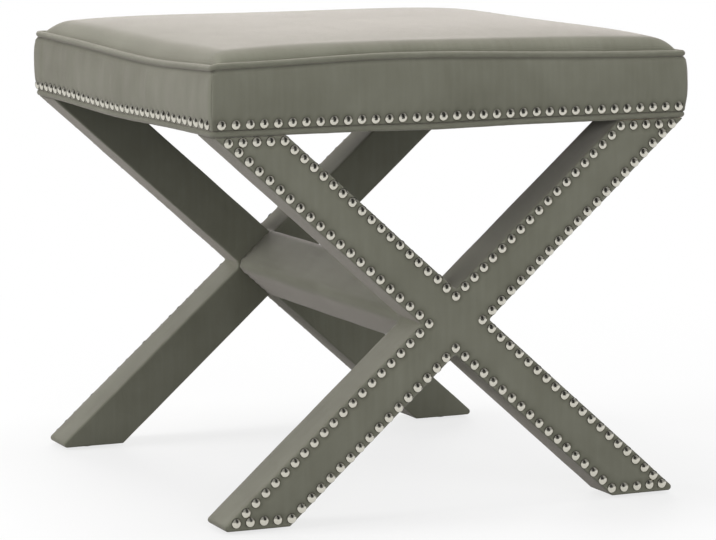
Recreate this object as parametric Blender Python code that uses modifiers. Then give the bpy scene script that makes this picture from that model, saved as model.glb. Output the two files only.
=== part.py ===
"""Square padded footstool: a boxed seat on two upholstered X frames joined by a stretcher.

X runs along the front, Y from front to rear and Z up. The origin is on the floor under the seat's middle.
"""

import math

import bmesh
import bpy
from mathutils import Matrix
from mathutils import Vector

# Overall sizes, in metres
SEAT_WIDTH = 0.510
SEAT_DEPTH = 0.510
BASE_HEIGHT = 0.3812
FIT = 0.0003

# X frames
LEG_WIDTH = 0.0485
LEG_THICKNESS = 0.048
CROSS_SHARE = 0.4968
FRAME_INSET = 0.003
CORNER_RADIUS = 0.004
COVER = 0.0012
STRETCHER_PAD = 0.0045
STRETCHER_ROUND = 0.009

# Bolt, washer, barrel nut and dowels at each end of the stretcher
BOLT_RADIUS = 0.004
BOLT_HEAD_RADIUS = 0.0085
BOLT_HEAD_HEIGHT = 0.004
BOLT_SINK = 0.010
BOLT_TAIL = 0.009
WASHER_RADIUS = 0.011
WASHER_THICKNESS = 0.0016
NUT_RADIUS = 0.007
NUT_LENGTH = 0.022
NUT_CLEARANCE = 0.005
DOWEL_RADIUS = 0.005
DOWEL_SPACING = 0.034
DOWEL_IN_LEG = 0.016
DOWEL_IN_STRETCHER = 0.022

# Glides under the feet
GLIDE_RADIUS = 0.011
GLIDE_HEIGHT = 0.0025
GLIDE_PIN_RADIUS = 0.0015
GLIDE_PIN_LENGTH = 0.014

# Seat frame
DUST_COVER = 0.0008
BASE_BOARD = 0.005
RAIL_WIDTH = 0.045
RAIL_HEIGHT = 0.025
TENON_LENGTH = 0.018
TENON_WIDTH = 0.025
TENON_THICKNESS = 0.010
DECK_THICKNESS = 0.012
LEG_SCREW_RADIUS = 0.0025
LEG_SCREW_HEAD = 0.005
LEG_SCREW_SINK = 0.006
LEG_SCREW_BITE = 0.032
LEG_SCREW_SPACING = 0.020
DECK_SCREW_RADIUS = 0.002
DECK_SCREW_HEAD = 0.004
DECK_SCREW_LENGTH = 0.028
DECK_SCREW_OFFSET = 0.050

# Cushion, boxing and pipings
BOXING_HEIGHT = 0.056
BOXING_EDGE = 0.0015
BOXING_BULGE = 0.003
PIPING_RADIUS = 0.003
PIPING_CORNER = 0.005
WADDING = 0.004
CROWN = 0.025
CROWN_SHOULDER = 3.0
CROWN_FULLNESS = 0.35
TOP_EDGE_DROP = 0.0006

# Nails
NAIL_RADIUS = 0.0047
NAIL_HEIGHT = 0.0024
SEAT_NAIL_GAP = 0.005
FRAME_NAIL_GAP = 0.0043
NAIL_INSET = 0.0063
FRAME_NAIL_INSET = 0.0052
FOOT_NAIL_INSET = 0.008
NAIL_RISE = 0.0065
NAIL_TIE_WIDTH = 0.0008
NAIL_TIE_HEIGHT = 0.0005

# Facets of round shapes
ROUND_STEPS = 8
PIPING_STEPS = 4
CROWN_CELLS = 12
ARC_STEPS = 6
CUT_MARGIN = 0.002
FLAT_ANGLE = math.radians(0.1)

# Heights and places that follow from the sizes
FOOT_BOTTOM = GLIDE_HEIGHT + FIT
CROSS_HEIGHT = FOOT_BOTTOM + CROSS_SHARE * (BASE_HEIGHT - FOOT_BOTTOM)
HEAD_RISE = BASE_HEIGHT - CROSS_HEIGHT
HALF_SPREAD = SEAT_WIDTH / 2 - FRAME_INSET
LEG_ANGLE = math.atan2(HEAD_RISE, HALF_SPREAD) + math.asin(
    LEG_WIDTH / 2 / math.hypot(HEAD_RISE, HALF_SPREAD)
)
CORE_HALF = LEG_WIDTH / 2 - COVER - FIT
CORE_RADIUS = CORNER_RADIUS - COVER - FIT
CORE_OUTER = COVER + FIT
CORE_INNER = LEG_THICKNESS - COVER - FIT
CORE_MIDDLE = (CORE_OUTER + CORE_INNER) / 2
CORE_BOTTOM = FOOT_BOTTOM + COVER + FIT
STRETCHER_START = LEG_THICKNESS + FIT
STRETCHER_HALF = SEAT_DEPTH / 2 - STRETCHER_START
NUT_DEPTH = DOWEL_IN_STRETCHER + NUT_CLEARANCE + NUT_RADIUS

SEAT_BOTTOM = BASE_HEIGHT + FIT
BOARD_BOTTOM = SEAT_BOTTOM + DUST_COVER + FIT
RAIL_BOTTOM = max(BOARD_BOTTOM + BASE_BOARD, SEAT_BOTTOM + 2 * PIPING_RADIUS) + FIT
RAIL_TOP = RAIL_BOTTOM + RAIL_HEIGHT
DECK_BOTTOM = RAIL_TOP + FIT
DECK_TOP = DECK_BOTTOM + DECK_THICKNESS
BOXING_BOTTOM = SEAT_BOTTOM + 2 * PIPING_RADIUS + FIT
BOXING_TOP = BOXING_BOTTOM + BOXING_HEIGHT
PIPING_HEIGHT = BOXING_TOP + FIT + PIPING_RADIUS
INNER_X = SEAT_WIDTH / 2 - BOXING_EDGE - FIT
INNER_Y = SEAT_DEPTH / 2 - BOXING_EDGE - FIT
PANEL_X = SEAT_WIDTH / 2 - 2 * PIPING_RADIUS - FIT
PANEL_Y = SEAT_DEPTH / 2 - 2 * PIPING_RADIUS - FIT
PANEL_RADIUS = PIPING_CORNER - PIPING_RADIUS - FIT
PANEL_EDGE = PIPING_HEIGHT - TOP_EDGE_DROP
NAIL_LEVEL = BOXING_BOTTOM + NAIL_RISE
SEAT_NAIL_PITCH = 2 * NAIL_RADIUS + SEAT_NAIL_GAP
FRAME_NAIL_PITCH = 2 * NAIL_RADIUS + FRAME_NAIL_GAP

# Places of the screws, seen from above
LEG_TOP_X = HEAD_RISE / math.tan(LEG_ANGLE)
LEG_SCREW_X = LEG_TOP_X - LEG_SCREW_BITE / 2 / math.tan(LEG_ANGLE)
DECK_SCREW_X = LEG_SCREW_X - DECK_SCREW_OFFSET
RAIL_MIDDLE_Y = INNER_Y - RAIL_WIDTH / 2


def clear_scene():
    for item in list(bpy.data.objects):
        bpy.data.objects.remove(item, do_unlink=True)


def new_collection(name):
    group = bpy.data.collections.new(name)
    bpy.context.scene.collection.children.link(group)
    return group


def linear(level):
    share = level / 255
    return share / 12.92 if share <= 0.04045 else ((share + 0.055) / 1.055) ** 2.4


def material(name, red, green, blue, roughness, metallic=0.0):
    made = bpy.data.materials.new(name)
    made.use_nodes = True
    shader = made.node_tree.nodes["Principled BSDF"]
    shader.inputs["Base Color"].default_value = (linear(red), linear(green), linear(blue), 1.0)
    shader.inputs["Roughness"].default_value = roughness
    shader.inputs["Metallic"].default_value = metallic
    made.diffuse_color = shader.inputs["Base Color"].default_value
    return made


def add_part(name, mesh, finish, parent=None):
    part = bpy.data.objects.new(name, mesh)
    PARTS.objects.link(part)
    part.data.materials.append(finish)
    part.parent = parent
    return part


def add_cutter(mesh, parent=None):
    cutter = bpy.data.objects.new("cutter", mesh)
    CUTTERS.objects.link(cutter)
    cutter.hide_render = True
    cutter.display_type = "WIRE"
    cutter.parent = parent
    return cutter


def combine(part, other, operation="DIFFERENCE"):
    step = part.modifiers.new(operation.lower(), "BOOLEAN")
    step.operation = operation
    step.solver = "EXACT"
    step.object = other


def finished_mesh(shape, name):
    mesh = bpy.data.meshes.new(name)
    shape.normal_update()
    bmesh.ops.recalc_face_normals(shape, faces=shape.faces)
    shape.to_mesh(mesh)
    shape.free()
    return mesh


def box_mesh(low, high):
    shape = bmesh.new()
    bmesh.ops.create_cube(shape, size=1.0)
    size = [b - a for a, b in zip(low, high)]
    middle = [(a + b) / 2 for a, b in zip(low, high)]
    bmesh.ops.scale(shape, vec=size, verts=shape.verts)
    bmesh.ops.translate(shape, vec=middle, verts=shape.verts)
    return finished_mesh(shape, "box")


def slab_mesh(points, low, high):
    """A flat outline of X and Y points, run along Z from low to high."""
    curve = bpy.data.curves.new("outline", "CURVE")
    curve.dimensions = "2D"
    curve.fill_mode = "BOTH"
    curve.extrude = (high - low) / 2
    spline = curve.splines.new("POLY")
    spline.points.add(len(points) - 1)
    for point, (x, y) in zip(spline.points, points):
        point.co = (x, y, 0.0, 1.0)
    spline.use_cyclic_u = True
    holder = bpy.data.objects.new("outline", curve)
    bpy.context.scene.collection.objects.link(holder)
    bpy.context.view_layer.update()
    flat = bpy.data.meshes.new_from_object(holder.evaluated_get(bpy.context.evaluated_depsgraph_get()))
    bpy.data.objects.remove(holder)
    shape = bmesh.new()
    shape.from_mesh(flat)
    bmesh.ops.remove_doubles(shape, verts=shape.verts, dist=1e-6)
    bmesh.ops.dissolve_limit(shape, angle_limit=FLAT_ANGLE, verts=shape.verts, edges=shape.edges)
    shape.transform(Matrix.Translation((0.0, 0.0, (low + high) / 2)))
    return finished_mesh(shape, "slab")


def outline_mesh(points, near, far):
    """A flat outline of X and Z points, run along Y from near to far."""
    mesh = slab_mesh(points, -far, -near)
    mesh.transform(Matrix.Rotation(math.pi / 2, 4, "X"))
    return mesh


def rod_mesh(radius, start, end):
    """A cylinder from start to end, wide enough to clear a round piece of that radius."""
    across = radius / math.cos(math.pi / ROUND_STEPS)
    run = Vector(end) - Vector(start)
    shape = bmesh.new()
    bmesh.ops.create_cone(
        shape, cap_ends=True, segments=ROUND_STEPS, radius1=across, radius2=across, depth=run.length
    )
    shape.transform(run.to_track_quat("Z", "Y").to_matrix().to_4x4())
    shape.transform(Matrix.Translation((Vector(start) + Vector(end)) / 2))
    return finished_mesh(shape, "rod")


def add_bore(part, radius, start, end, parent=None):
    combine(part, add_cutter(rod_mesh(radius, start, end), parent))


def turned(name, profile, finish, place, turn=(0.0, 0.0, 0.0), parent=None):
    """A round piece: profile lists radius and height from top to bottom."""
    mesh = bpy.data.meshes.new(name)
    rows = [(radius, 0.0, height) for radius, height in profile]
    mesh.from_pydata(rows, [(i, i + 1) for i in range(len(rows) - 1)], [])
    part = add_part(name, mesh, finish, parent)
    part.location = place
    part.rotation_euler = turn
    spin = part.modifiers.new("turn", "SCREW")
    spin.steps = ROUND_STEPS
    spin.render_steps = ROUND_STEPS
    spin.use_merge_vertices = True
    spin.merge_threshold = 0.00001
    spin.use_smooth_shade = True
    return part


def edge_x(height, lean, side, half):
    """Where the left (-1) or right (+1) edge of a rising (+1) or falling (-1) leg is at a height."""
    along = lean * (height - CROSS_HEIGHT) * math.cos(LEG_ANGLE)
    return (side * half + along) / math.sin(LEG_ANGLE)


def leg_outline(lean, half, bottom, top):
    return [
        (edge_x(bottom, lean, -1, half), bottom),
        (edge_x(bottom, lean, 1, half), bottom),
        (edge_x(top, lean, 1, half), top),
        (edge_x(top, lean, -1, half), top),
    ]


def rhombus_outline(half):
    wide = half / math.sin(LEG_ANGLE)
    high = half / math.cos(LEG_ANGLE)
    return [
        (-wide, CROSS_HEIGHT),
        (0.0, CROSS_HEIGHT - high),
        (wide, CROSS_HEIGHT),
        (0.0, CROSS_HEIGHT + high),
    ]


def cross_outline(half, bottom, top):
    """The outline of the whole X, foot by foot round its four notches."""
    left, below, right, above = rhombus_outline(half)
    rising = leg_outline(1, half, bottom, top)
    falling = leg_outline(-1, half, bottom, top)
    return [
        *rising[:2], below, *falling[:2], right, *rising[2:], above, *falling[2:], left,
    ]


def eased_corners(points, radius, ceiling=math.inf):
    """The same outline with each outward corner below the ceiling cut back by an arc of two chords."""
    eased = []
    for index, corner in enumerate(points):
        here = Vector(corner)
        before = Vector(points[index - 1]) - here
        after = Vector(points[(index + 1) % len(points)]) - here
        outward = before.x * after.y - before.y * after.x < 0
        if not outward or here.y > ceiling:
            eased.append(corner)
            continue
        half_turn = before.angle(after) / 2
        before.normalize()
        after.normalize()
        inward = (before + after).normalized()
        start = here + before * radius / math.tan(half_turn)
        end = here + after * radius / math.tan(half_turn)
        crest = here + inward * (radius / math.sin(half_turn) - radius)
        eased.extend([tuple(start), tuple(crest), tuple(end)])
    return eased


def nail_spots(corners, pitch, closed):
    """Evenly spaced spots along a run of straight lines, with one at every corner."""
    ends = corners[1:] + corners[:1] if closed else corners[1:]
    spots = []
    for start, end in zip(corners, ends):
        count = max(1, round(math.dist(start, end) / pitch))
        first = Vector(start)
        step = (Vector(end) - first) / count
        spots.extend(first + step * k for k in range(count))
    if not closed:
        spots.append(Vector(corners[-1]))
    return spots


def nail_rows(shape, spot, arriving, leaving):
    """Rows of left, right and top vertices along one domed head, from its tie in to its tie out."""

    def vertex(flat, rise):
        return shape.verts.new((flat.x, -rise, flat.y))

    def on_rim(angle):
        return vertex(spot + Vector((math.cos(angle), math.sin(angle))) * NAIL_RADIUS, 0.0)

    def tie_row(toward, ahead):
        end = spot + toward * NAIL_RADIUS
        aside = Vector((-ahead.y, ahead.x)) * NAIL_TIE_WIDTH / 2
        return vertex(end + aside, 0.0), vertex(end - aside, 0.0), vertex(end, NAIL_TIE_HEIGHT)

    entry = math.atan2(-arriving.y, -arriving.x)
    right_turn = (math.atan2(leaving.y, leaving.x) - entry) % math.tau
    left_turn = math.tau - right_turn
    sharp = min(right_turn, left_turn) < math.pi / 2
    steps = 5 if sharp else 3
    apex = vertex(spot, NAIL_HEIGHT)
    rows = [tie_row(-arriving, arriving)]
    for step in range(1, steps):
        left = on_rim(entry - left_turn * step / steps)
        right = on_rim(entry + right_turn * step / steps)
        rows.append((left, right, apex))
    rows.append(tie_row(leaving, leaving))
    return rows


def nail_strip_mesh(spots, closed):
    """Domed heads on a hair-thin tie, flat in X and Z, with the heads rising towards -Y."""
    shape = bmesh.new()
    runs = [(end - start).normalized() for start, end in zip(spots, spots[1:] + spots[:1])]
    if not closed:
        runs[-1] = runs[-2]
    rows = []
    for index, spot in enumerate(spots):
        arriving = runs[index - 1] if closed or index else runs[0]
        rows.extend(nail_rows(shape, spot, arriving, runs[index]))
    following = rows[1:] + rows[:1] if closed else rows[1:]
    for (left, right, top), (next_left, next_right, next_top) in zip(rows, following):
        shape.faces.new((left, next_left, next_right, right))
        for ring in ((left, top, next_top, next_left), (right, next_right, next_top, top)):
            shape.faces.new(dict.fromkeys(ring))
    if not closed:
        shape.faces.new(rows[0])
        shape.faces.new(rows[-1])
    return finished_mesh(shape, "nail_strip")


def build_leg(name, lean, frame):
    """One timber leg, notched to half its thickness where the other leg crosses it."""
    square = leg_outline(lean, CORE_HALF, CORE_BOTTOM, BASE_HEIGHT)
    outline = eased_corners(square, CORE_RADIUS, CROSS_HEIGHT)
    leg = add_part(name, outline_mesh(outline, CORE_OUTER, CORE_INNER), TIMBER, frame)
    notch = leg_outline(-lean, CORE_HALF + FIT, CORE_BOTTOM, BASE_HEIGHT)
    if lean > 0:
        reach = (CORE_OUTER - CUT_MARGIN, CORE_MIDDLE + FIT / 2)
    else:
        reach = (CORE_MIDDLE - FIT / 2, CORE_INNER + CUT_MARGIN)
    combine(leg, add_cutter(outline_mesh(notch, *reach), frame))
    bore_for_bolt(leg, frame)
    if lean > 0:
        bore_for_dowels(leg, frame)
    else:
        seat = CORE_OUTER + BOLT_SINK
        middle = (0.0, CORE_OUTER - CUT_MARGIN, CROSS_HEIGHT)
        add_bore(leg, WASHER_RADIUS + FIT, middle, (0.0, seat, CROSS_HEIGHT), frame)
    for x, y in leg_screw_spots(lean):
        bottom = BASE_HEIGHT - LEG_SCREW_BITE - FIT
        add_bore(leg, LEG_SCREW_RADIUS + FIT, (x, y, bottom), (x, y, BASE_HEIGHT + CUT_MARGIN), frame)
    bore_for_glide(leg, lean, frame)
    return leg


def bore_for_bolt(part, frame):
    start = (0.0, CORE_OUTER - CUT_MARGIN, CROSS_HEIGHT)
    end = (0.0, STRETCHER_START + NUT_DEPTH + BOLT_TAIL + FIT, CROSS_HEIGHT)
    add_bore(part, BOLT_RADIUS + FIT, start, end, frame)


def bore_for_dowels(part, frame):
    for side in (-1, 1):
        x = side * DOWEL_SPACING / 2
        start = (x, CORE_INNER - DOWEL_IN_LEG - FIT, CROSS_HEIGHT)
        end = (x, STRETCHER_START + DOWEL_IN_STRETCHER + FIT, CROSS_HEIGHT)
        add_bore(part, DOWEL_RADIUS + FIT, start, end, frame)


def bore_for_glide(part, lean, frame):
    x, y = foot_middle(lean)
    start = (x, y, FOOT_BOTTOM - CUT_MARGIN)
    add_bore(part, GLIDE_PIN_RADIUS + FIT, start, (x, y, GLIDE_HEIGHT + GLIDE_PIN_LENGTH + FIT), frame)


def foot_middle(lean):
    return edge_x(FOOT_BOTTOM, lean, 0, 0.0), LEG_THICKNESS / 2


def leg_screw_spots(lean):
    """Places of the two screws in a leg's top, in the frame's own X and Y."""
    rail_middle = SEAT_DEPTH / 2 - RAIL_MIDDLE_Y
    return [(lean * LEG_SCREW_X, rail_middle + side * LEG_SCREW_SPACING / 2) for side in (-1, 1)]


def build_frame_covers(prefix, frame):
    """The fabric: a wrap over the sides and inner face, and a panel on the outer face."""
    square = cross_outline(LEG_WIDTH / 2, FOOT_BOTTOM, BASE_HEIGHT)
    outer = eased_corners(square, CORNER_RADIUS, CROSS_HEIGHT)
    wrap = add_part(prefix + "_frame_wrap", outline_mesh(outer, COVER + FIT, LEG_THICKNESS), FABRIC, frame)
    pocket_top = BASE_HEIGHT + CUT_MARGIN
    hollow = cross_outline(LEG_WIDTH / 2 - COVER, FOOT_BOTTOM + COVER, pocket_top)
    pocket = eased_corners(hollow, CORNER_RADIUS - COVER, CROSS_HEIGHT)
    combine(wrap, add_cutter(outline_mesh(pocket, -CUT_MARGIN, LEG_THICKNESS - COVER), frame))
    bore_for_bolt(wrap, frame)
    bore_for_dowels(wrap, frame)
    for lean in (-1, 1):
        bore_for_glide(wrap, lean, frame)
    add_part(prefix + "_frame_face", outline_mesh(outer, 0.0, COVER), FABRIC, frame)
    nail_foot, nail_head = FOOT_BOTTOM + FOOT_NAIL_INSET, BASE_HEIGHT - FRAME_NAIL_INSET
    inset = cross_outline(LEG_WIDTH / 2 - FRAME_NAIL_INSET, nail_foot, nail_head)
    spots = nail_spots(inset, FRAME_NAIL_PITCH, True)
    nails = add_part(prefix + "_frame_nails", nail_strip_mesh(spots, True), NICKEL, frame)
    nails.location.y = -FIT


def build_frame_hardware(prefix, frame):
    """Bolt, washer, barrel nut and dowels for the stretcher, leg screws and glides."""
    along = (-math.pi / 2, 0.0, 0.0)
    seat = CORE_OUTER + BOLT_SINK
    washer_outer = seat - FIT - WASHER_THICKNESS
    under_head = washer_outer - FIT
    tip = STRETCHER_START + NUT_DEPTH + BOLT_TAIL
    bolt_profile = [
        (0.0, tip - under_head),
        (BOLT_RADIUS, tip - under_head),
        (BOLT_RADIUS, 0.0),
        (BOLT_HEAD_RADIUS, 0.0),
        (BOLT_HEAD_RADIUS, -BOLT_HEAD_HEIGHT),
        (0.0, -BOLT_HEAD_HEIGHT),
    ]
    turned(prefix + "_cross_bolt", bolt_profile, STEEL, (0.0, under_head, CROSS_HEIGHT), along, frame)

    washer_profile = rod_profile(WASHER_RADIUS, 0.0, WASHER_THICKNESS)
    washer_place = (0.0, washer_outer, CROSS_HEIGHT)
    washer = turned(prefix + "_cross_washer", washer_profile, STEEL, washer_place, along, frame)
    bore_for_bolt(washer, frame)

    nut_profile = rod_profile(NUT_RADIUS, -NUT_LENGTH / 2, NUT_LENGTH / 2)
    nut_place = (0.0, STRETCHER_START + NUT_DEPTH, CROSS_HEIGHT)
    nut = turned(prefix + "_barrel_nut", nut_profile, STEEL, nut_place, (0.0, -LEG_ANGLE, 0.0), frame)
    bore_for_bolt(nut, frame)

    dowel_start = CORE_INNER - DOWEL_IN_LEG
    dowel_length = STRETCHER_START + DOWEL_IN_STRETCHER - dowel_start
    dowel_profile = rod_profile(DOWEL_RADIUS, 0.0, dowel_length)
    for number, side in enumerate((-1, 1), start=1):
        place = (side * DOWEL_SPACING / 2, dowel_start, CROSS_HEIGHT)
        turned(f"{prefix}_dowel_{number}", dowel_profile, TIMBER, place, along, frame)

    screw_top = RAIL_TOP - LEG_SCREW_SINK
    leg_screw = screw_profile(LEG_SCREW_HEAD, LEG_SCREW_RADIUS, screw_top - BASE_HEIGHT + LEG_SCREW_BITE)
    spots = leg_screw_spots(-1) + leg_screw_spots(1)
    for number, (x, y) in enumerate(spots, start=1):
        turned(f"{prefix}_leg_screw_{number}", leg_screw, STEEL, (x, y, screw_top), parent=frame)

    glide_profile = [
        (0.0, GLIDE_HEIGHT + GLIDE_PIN_LENGTH),
        (GLIDE_PIN_RADIUS, GLIDE_HEIGHT + GLIDE_PIN_LENGTH),
        (GLIDE_PIN_RADIUS, GLIDE_HEIGHT),
        (GLIDE_RADIUS, GLIDE_HEIGHT),
        (GLIDE_RADIUS, 0.0),
        (0.0, 0.0),
    ]
    for number, lean in enumerate((-1, 1), start=1):
        turned(f"{prefix}_glide_{number}", glide_profile, NYLON, (*foot_middle(lean), 0.0), parent=frame)


def rod_profile(radius, low, high):
    return [(0.0, high), (radius, high), (radius, low), (0.0, low)]


def screw_profile(head, shank, length):
    """A countersunk screw with its flat top at zero and its point at -length."""
    return [(0.0, 0.0), (head, 0.0), (shank, shank - head), (shank, 2 * shank - length), (0.0, -length)]


def build_frame(prefix, side):
    """One whole X frame in its own axes: outer face at Y 0, inner face towards +Y."""
    frame = bpy.data.objects.new(prefix + "_frame", None)
    PARTS.objects.link(frame)
    frame.location = (0.0, side * SEAT_DEPTH / 2, 0.0)
    frame.rotation_euler = (0.0, 0.0, math.pi if side > 0 else 0.0)
    build_leg(prefix + "_rising_leg", 1, frame)
    build_leg(prefix + "_falling_leg", -1, frame)
    build_frame_covers(prefix, frame)
    build_frame_hardware(prefix, frame)
    return frame


def build_stretcher(frames):
    """The beam between the crossings, with bores for each end's hardware, and its wadded sleeve."""
    core_outline = eased_corners(rhombus_outline(CORE_HALF), CORE_RADIUS)
    core = add_part("stretcher_core", outline_mesh(core_outline, -STRETCHER_HALF, STRETCHER_HALF), TIMBER)
    up = Vector((-math.sin(LEG_ANGLE), 0.0, math.cos(LEG_ANGLE)))
    for frame in frames:
        bore_for_bolt(core, frame)
        bore_for_dowels(core, frame)
        nut_middle = Vector((0.0, STRETCHER_START + NUT_DEPTH, CROSS_HEIGHT))
        bottom = nut_middle - up * (NUT_LENGTH / 2 + FIT)
        top = nut_middle + up * (CORE_HALF + CUT_MARGIN)
        add_bore(core, NUT_RADIUS + FIT, bottom, top, frame)
    sleeve_outline = eased_corners(rhombus_outline(LEG_WIDTH / 2 + STRETCHER_PAD), STRETCHER_ROUND)
    tube = outline_mesh(sleeve_outline, -STRETCHER_HALF, STRETCHER_HALF)
    sleeve = add_part("stretcher_cover", tube, FABRIC)
    reach = STRETCHER_HALF + CUT_MARGIN
    bore = eased_corners(rhombus_outline(LEG_WIDTH / 2 - COVER), CORNER_RADIUS - COVER)
    combine(sleeve, add_cutter(outline_mesh(bore, -reach, reach)))


def build_rails():
    """Front and rear rails with mortises, and side rails with stub tenons in them."""
    shoulder = INNER_Y - RAIL_WIDTH
    tenon_low = (RAIL_BOTTOM + RAIL_TOP - TENON_THICKNESS) / 2
    tenon_high = tenon_low + TENON_THICKNESS
    tenon_middle = INNER_X - RAIL_WIDTH / 2
    for name, side in (("front_rail", -1), ("rear_rail", 1)):
        ends = sorted((side * shoulder, side * INNER_Y))
        beam = box_mesh((-INNER_X, ends[0], RAIL_BOTTOM), (INNER_X, ends[1], RAIL_TOP))
        rail = add_part(name, beam, TIMBER)
        for hand in (-1, 1):
            spread = TENON_WIDTH / 2 + FIT
            reach = sorted((side * (shoulder - CUT_MARGIN), side * (shoulder + TENON_LENGTH + FIT)))
            low = (hand * tenon_middle - spread, reach[0], tenon_low - FIT)
            high = (hand * tenon_middle + spread, reach[1], tenon_high + FIT)
            combine(rail, add_cutter(box_mesh(low, high)))
            x = hand * DECK_SCREW_X
            y = side * RAIL_MIDDLE_Y
            depth = DECK_TOP - DECK_SCREW_LENGTH - FIT
            add_bore(rail, DECK_SCREW_RADIUS + FIT, (x, y, depth), (x, y, RAIL_TOP + CUT_MARGIN))
        bore_for_leg_screws(rail, side, RAIL_BOTTOM, RAIL_TOP)
        for x, y in seat_leg_screws(side):
            sink = (x, y, RAIL_TOP - LEG_SCREW_SINK - LEG_SCREW_HEAD)
            add_bore(rail, LEG_SCREW_HEAD + FIT, sink, (x, y, RAIL_TOP + CUT_MARGIN))
    for name, hand in (("left_rail", -1), ("right_rail", 1)):
        sides = sorted((hand * (INNER_X - RAIL_WIDTH), hand * INNER_X))
        length = shoulder - FIT
        beam = box_mesh((sides[0], -length, RAIL_BOTTOM), (sides[1], length, RAIL_TOP))
        rail = add_part(name, beam, TIMBER)
        middle = hand * tenon_middle
        reach = shoulder + TENON_LENGTH
        low = (middle - TENON_WIDTH / 2, -reach, tenon_low)
        high = (middle + TENON_WIDTH / 2, reach, tenon_high)
        combine(rail, add_cutter(box_mesh(low, high)), "UNION")


def seat_leg_screws(side):
    """Places of the leg screws under the front (-1) or rear (+1) rail, in the seat's axes."""
    spots = leg_screw_spots(-1) + leg_screw_spots(1)
    return [(x, side * (SEAT_DEPTH / 2 - y)) for x, y in spots]


def bore_for_leg_screws(part, side, bottom, top):
    for x, y in seat_leg_screws(side):
        add_bore(part, LEG_SCREW_RADIUS + FIT, (x, y, bottom - CUT_MARGIN), (x, y, top + CUT_MARGIN))


def build_boards():
    """Dust cover and base board under the rails, plywood deck over them, and the deck's screws."""
    square = [(-PANEL_X, -PANEL_Y), (PANEL_X, -PANEL_Y), (PANEL_X, PANEL_Y), (-PANEL_X, PANEL_Y)]
    outline = eased_corners(square, PANEL_RADIUS)
    sheets = (
        ("dust_cover", LINING, SEAT_BOTTOM, SEAT_BOTTOM + DUST_COVER),
        ("base_board", PLYWOOD, BOARD_BOTTOM, BOARD_BOTTOM + BASE_BOARD),
    )
    for name, finish, bottom, top in sheets:
        sheet = add_part(name, slab_mesh(outline, bottom, top), finish)
        for side in (-1, 1):
            bore_for_leg_screws(sheet, side, bottom, top)
    sheet = box_mesh((-INNER_X, -INNER_Y, DECK_BOTTOM), (INNER_X, INNER_Y, DECK_TOP))
    deck = add_part("seat_deck", sheet, PLYWOOD)
    deck_screw = screw_profile(DECK_SCREW_HEAD, DECK_SCREW_RADIUS, DECK_SCREW_LENGTH)
    corners = [(x, y) for y in (-RAIL_MIDDLE_Y, RAIL_MIDDLE_Y) for x in (-DECK_SCREW_X, DECK_SCREW_X)]
    for number, (x, y) in enumerate(corners, start=1):
        turned(f"deck_screw_{number}", deck_screw, STEEL, (x, y, DECK_TOP))
        above = (x, y, DECK_TOP + CUT_MARGIN)
        add_bore(deck, DECK_SCREW_RADIUS + FIT, (x, y, DECK_BOTTOM - CUT_MARGIN), above)
        add_bore(deck, DECK_SCREW_HEAD + FIT, (x, y, DECK_TOP - DECK_SCREW_HEAD), above)


def crown_rise(across, along):
    """Height of the crown above the panel's edge, for shares of the half width and half depth."""
    shoulder = (1 - min(1.0, abs(across)) ** CROWN_SHOULDER) * (1 - min(1.0, abs(along)) ** CROWN_SHOULDER)
    return CROWN * shoulder**CROWN_FULLNESS


def eased_place(x, y):
    """A point of the panel's square outline, drawn in where the corners are round."""
    past_x = abs(x) - (PANEL_X - PANEL_RADIUS)
    past_y = abs(y) - (PANEL_Y - PANEL_RADIUS)
    if min(past_x, past_y) <= 0:
        return x, y
    shrink = 1 - max(past_x, past_y) / math.hypot(past_x, past_y)
    return x - math.copysign(past_x * shrink, x), y - math.copysign(past_y * shrink, y)


def crowned_mesh(bottom, top):
    """A sheet or block over the panel's outline. Bottom and top give a height, crowned or flat."""
    shape = bmesh.new()
    bmesh.ops.create_grid(shape, x_segments=CROWN_CELLS, y_segments=CROWN_CELLS, size=1.0)
    raised = bmesh.ops.extrude_face_region(shape, geom=shape.faces[:])
    upper = {item for item in raised["geom"] if isinstance(item, bmesh.types.BMVert)}
    for vertex in shape.verts:
        across = math.sin(vertex.co.x * math.pi / 2)
        along = math.sin(vertex.co.y * math.pi / 2)
        height, crowned = top if vertex in upper else bottom
        rise = crown_rise(across, along) if crowned else 0.0
        vertex.co = (*eased_place(across * PANEL_X, along * PANEL_Y), height + rise)
    mesh = finished_mesh(shape, "crowned")
    mesh.shade_smooth()
    mesh.set_sharp_from_angle(angle=math.radians(40))
    return mesh


def build_cushion():
    """Foam block, wadding and top panel, all with the same crown."""
    panel_bottom = PANEL_EDGE - COVER
    wadding_top = panel_bottom - FIT
    wadding_bottom = wadding_top - WADDING
    foam_top = wadding_bottom - FIT
    foam_bottom = DECK_TOP + FIT
    add_part("seat_top_panel", crowned_mesh((panel_bottom, True), (PANEL_EDGE, True)), FABRIC)
    add_part("seat_wadding", crowned_mesh((wadding_bottom, True), (wadding_top, True)), FIBRE)
    foam = add_part("seat_foam", crowned_mesh((foam_bottom, False), (foam_top, True)), FOAM)
    ledge = min(foam_top, BOXING_TOP)
    block = box_mesh((-INNER_X, -INNER_Y, foam_bottom), (INNER_X, INNER_Y, ledge))
    combine(foam, add_cutter(block), "UNION")


def bulge_at(height):
    """How far the boxing swells out at a height."""
    share = (height - BOXING_BOTTOM) / BOXING_HEIGHT
    return BOXING_BULGE * 4 * share * (1 - share)


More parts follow.
